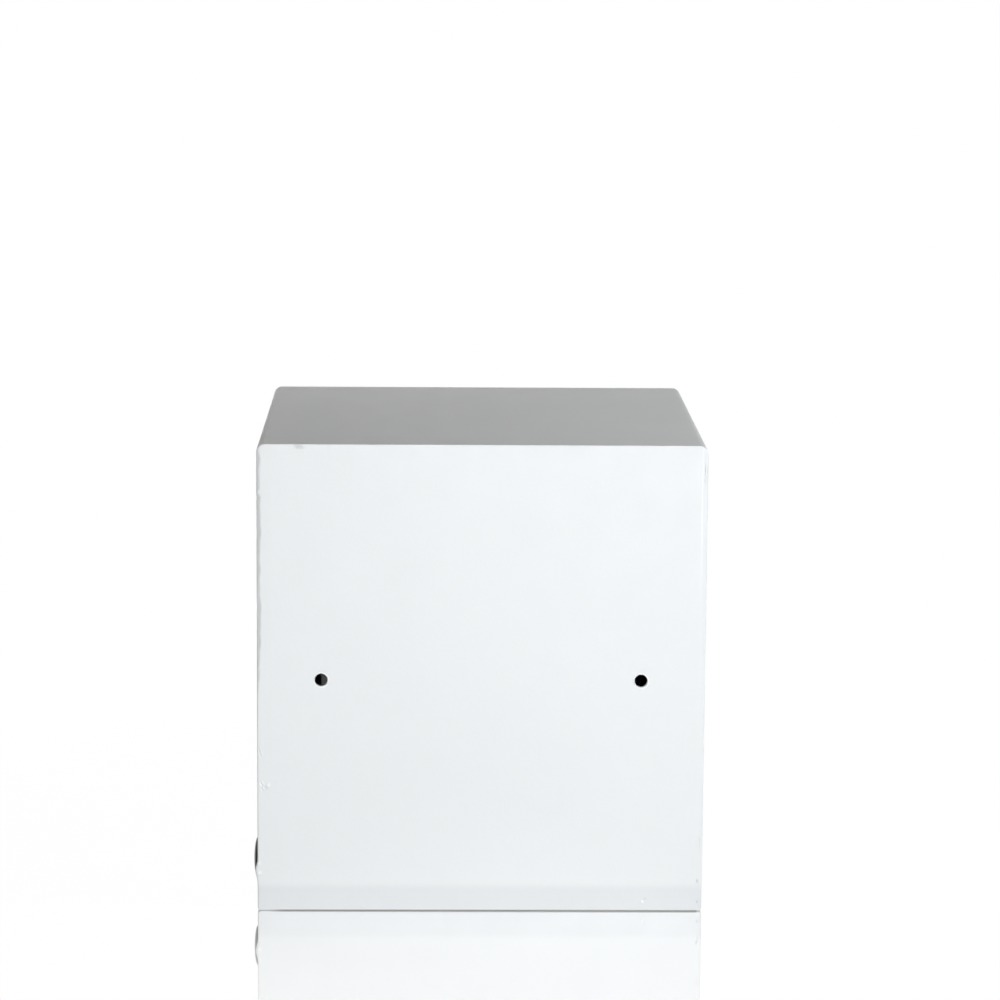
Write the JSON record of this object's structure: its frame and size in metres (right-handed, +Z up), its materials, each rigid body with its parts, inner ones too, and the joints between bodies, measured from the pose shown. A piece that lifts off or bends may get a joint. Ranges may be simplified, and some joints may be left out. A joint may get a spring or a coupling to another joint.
{
  "type": "deposit safe",
  "caption": "Small free-standing white steel deposit safe with a tilting deposit hopper above a concealed-hinge door with keypad, turn knob and sliding bolts.",
  "frame": {"origin": "middle of the flat base, under the middle of the cabinet", "axes": "+Z up, -Y out of the front with the door and the hopper, +Y out of the back with the anchor holes, +X to the right as seen from the front"},
  "size_m": [0.3546, 0.3709, 0.372],
  "materials": {
    "white_paint": "semi-gloss powder coat",
    "zinc_plate": "bright zinc plate",
    "polished_steel": "polished",
    "brass": "satin",
    "black_plastic": "fine grain moulding",
    "cover_paint": "matt black powder coat",
    "key_plastic": "satin",
    "red_plastic": "gloss",
    "board": "solder mask",
    "felt": "needle felt"
  },
  "bodies": {
    "cabinet": {"body_wrap": "white_paint", "back_plate": "white_paint", "front_frame": "white_paint", "door_jamb": "white_paint", "hinge_bush_top": "zinc_plate", "hinge_bush_bottom": "zinc_plate", "floor_mat": "felt", "cable_plug": "black_plastic", "hopper_side_left": "zinc_plate", "hopper_side_right": "zinc_plate", "hopper_bush_left": "brass", "hopper_bush_right": "brass", "anti_fish_baffle": "zinc_plate"},
    "hopper": {"hopper_flap": "white_paint", "hopper_scoop": "zinc_plate", "scoop_cheek_left": "zinc_plate", "scoop_cheek_right": "zinc_plate", "hopper_pin_left": "polished_steel", "hopper_pin_right": "polished_steel", "hopper_handle": "polished_steel"},
    "door": {"door_plate": "white_paint", "hinge_lug_top": "zinc_plate", "hinge_lug_bottom": "zinc_plate", "hinge_pin_top": "polished_steel", "hinge_pin_bottom": "polished_steel", "bolt_guide": "zinc_plate", "carrier_stud_top": "polished_steel", "carrier_stud_bottom": "polished_steel", "door_cover": "cover_paint", "knob_rosette": "polished_steel", "emergency_lock": "polished_steel", "solenoid": "zinc_plate", "solenoid_lead": "black_plastic", "keypad_housing": "black_plastic", "circuit_board": "board", "battery": "black_plastic", "battery_cover": "black_plastic"},
    "boltwork": {"bolt_carrier": "zinc_plate", "live_bolt_top": "polished_steel", "live_bolt_middle": "polished_steel", "live_bolt_bottom": "polished_steel"},
    "knob": {"turn_knob": "black_plastic", "knob_spindle": "polished_steel", "drive_crank": "zinc_plate"},
    "key_cylinder": {"key_plug": "brass"},
    "plunger": {"solenoid_plunger": "polished_steel"},
    "reset": {"reset_button": "red_plastic"},
    "button_1": {"key_1": "key_plastic"},
    "button_2": {"key_2": "key_plastic"},
    "button_3": {"key_3": "key_plastic"},
    "button_4": {"key_4": "key_plastic"},
    "button_5": {"key_5": "key_plastic"},
    "button_6": {"key_6": "key_plastic"},
    "button_7": {"key_7": "key_plastic"},
    "button_8": {"key_8": "key_plastic"},
    "button_9": {"key_9": "key_plastic"},
    "button_clear": {"key_clear": "key_plastic"},
    "button_0": {"key_0": "key_plastic"},
    "button_enter": {"key_enter": "key_plastic"}
  },
  "joints": [
    {"name": "hopper_tilt", "type": "hinge", "parent": "cabinet", "child": "hopper", "pos_m": [0, -0.1585, 0.2895], "axis": [1, 0, 0], "range_deg": [0, 60]},
    {"name": "door_swing", "type": "hinge", "parent": "cabinet", "child": "door", "pos_m": [0.1165, -0.1615, 0.137], "axis": [0, 0, 1], "range_deg": [0, 110]},
    {"name": "knob_turn", "type": "hinge", "parent": "door", "child": "knob", "pos_m": [-0.049, -0.1705, 0.137], "axis": [0, -1, 0], "range_deg": [0, 90]},
    {"name": "bolt_throw", "type": "slide", "parent": "door", "child": "boltwork", "axis": [-1, 0, 0], "range_m": [0, 0.018]},
    {"name": "key_turn", "type": "hinge", "parent": "door", "child": "key_cylinder", "pos_m": [-0.049, -0.1705, 0.1851], "axis": [0, -1, 0], "range_deg": [0, 90]},
    {"name": "plunger_lift", "type": "slide", "parent": "door", "child": "plunger", "axis": [0, 0, 1], "range_m": [0, 0.005]},
    {"name": "reset_press", "type": "slide", "parent": "door", "child": "reset", "axis": [0, -1, 0], "range_m": [0, 0.0015], "stiffness_N_per_m": 300, "springref_m": -0.0015},
    {"name": "key_1_press", "type": "slide", "parent": "door", "child": "button_1", "axis": [0, 1, 0], "range_m": [0, 0.0012], "stiffness_N_per_m": 300, "springref_m": -0.0015},
    {"name": "key_2_press", "type": "slide", "parent": "door", "child": "button_2", "axis": [0, 1, 0], "range_m": [0, 0.0012], "stiffness_N_per_m": 300, "springref_m": -0.0015},
    {"name": "key_3_press", "type": "slide", "parent": "door", "child": "button_3", "axis": [0, 1, 0], "range_m": [0, 0.0012], "stiffness_N_per_m": 300, "springref_m": -0.0015},
    {"name": "key_4_press", "type": "slide", "parent": "door", "child": "button_4", "axis": [0, 1, 0], "range_m": [0, 0.0012], "stiffness_N_per_m": 300, "springref_m": -0.0015},
    {"name": "key_5_press", "type": "slide", "parent": "door", "child": "button_5", "axis": [0, 1, 0], "range_m": [0, 0.0012], "stiffness_N_per_m": 300, "springref_m": -0.0015},
    {"name": "key_6_press", "type": "slide", "parent": "door", "child": "button_6", "axis": [0, 1, 0], "range_m": [0, 0.0012], "stiffness_N_per_m": 300, "springref_m": -0.0015},
    {"name": "key_7_press", "type": "slide", "parent": "door", "child": "button_7", "axis": [0, 1, 0], "range_m": [0, 0.0012], "stiffness_N_per_m": 300, "springref_m": -0.0015},
    {"name": "key_8_press", "type": "slide", "parent": "door", "child": "button_8", "axis": [0, 1, 0], "range_m": [0, 0.0012], "stiffness_N_per_m": 300, "springref_m": -0.0015},
    {"name": "key_9_press", "type": "slide", "parent": "door", "child": "button_9", "axis": [0, 1, 0], "range_m": [0, 0.0012], "stiffness_N_per_m": 300, "springref_m": -0.0015},
    {"name": "key_clear_press", "type": "slide", "parent": "door", "child": "button_clear", "axis": [0, 1, 0], "range_m": [0, 0.0012], "stiffness_N_per_m": 300, "springref_m": -0.0015},
    {"name": "key_0_press", "type": "slide", "parent": "door", "child": "button_0", "axis": [0, 1, 0], "range_m": [0, 0.0012], "stiffness_N_per_m": 300, "springref_m": -0.0015},
    {"name": "key_enter_press", "type": "slide", "parent": "door", "child": "button_enter", "axis": [0, 1, 0], "range_m": [0, 0.0012], "stiffness_N_per_m": 300, "springref_m": -0.0015}
  ],
  "couplings": [
    {"joint": "knob_turn", "follows": "bolt_throw", "rad_per_m": 87.266},
    {"joint": "key_turn", "follows": "plunger_lift", "rad_per_m": 314.16}
  ]
}
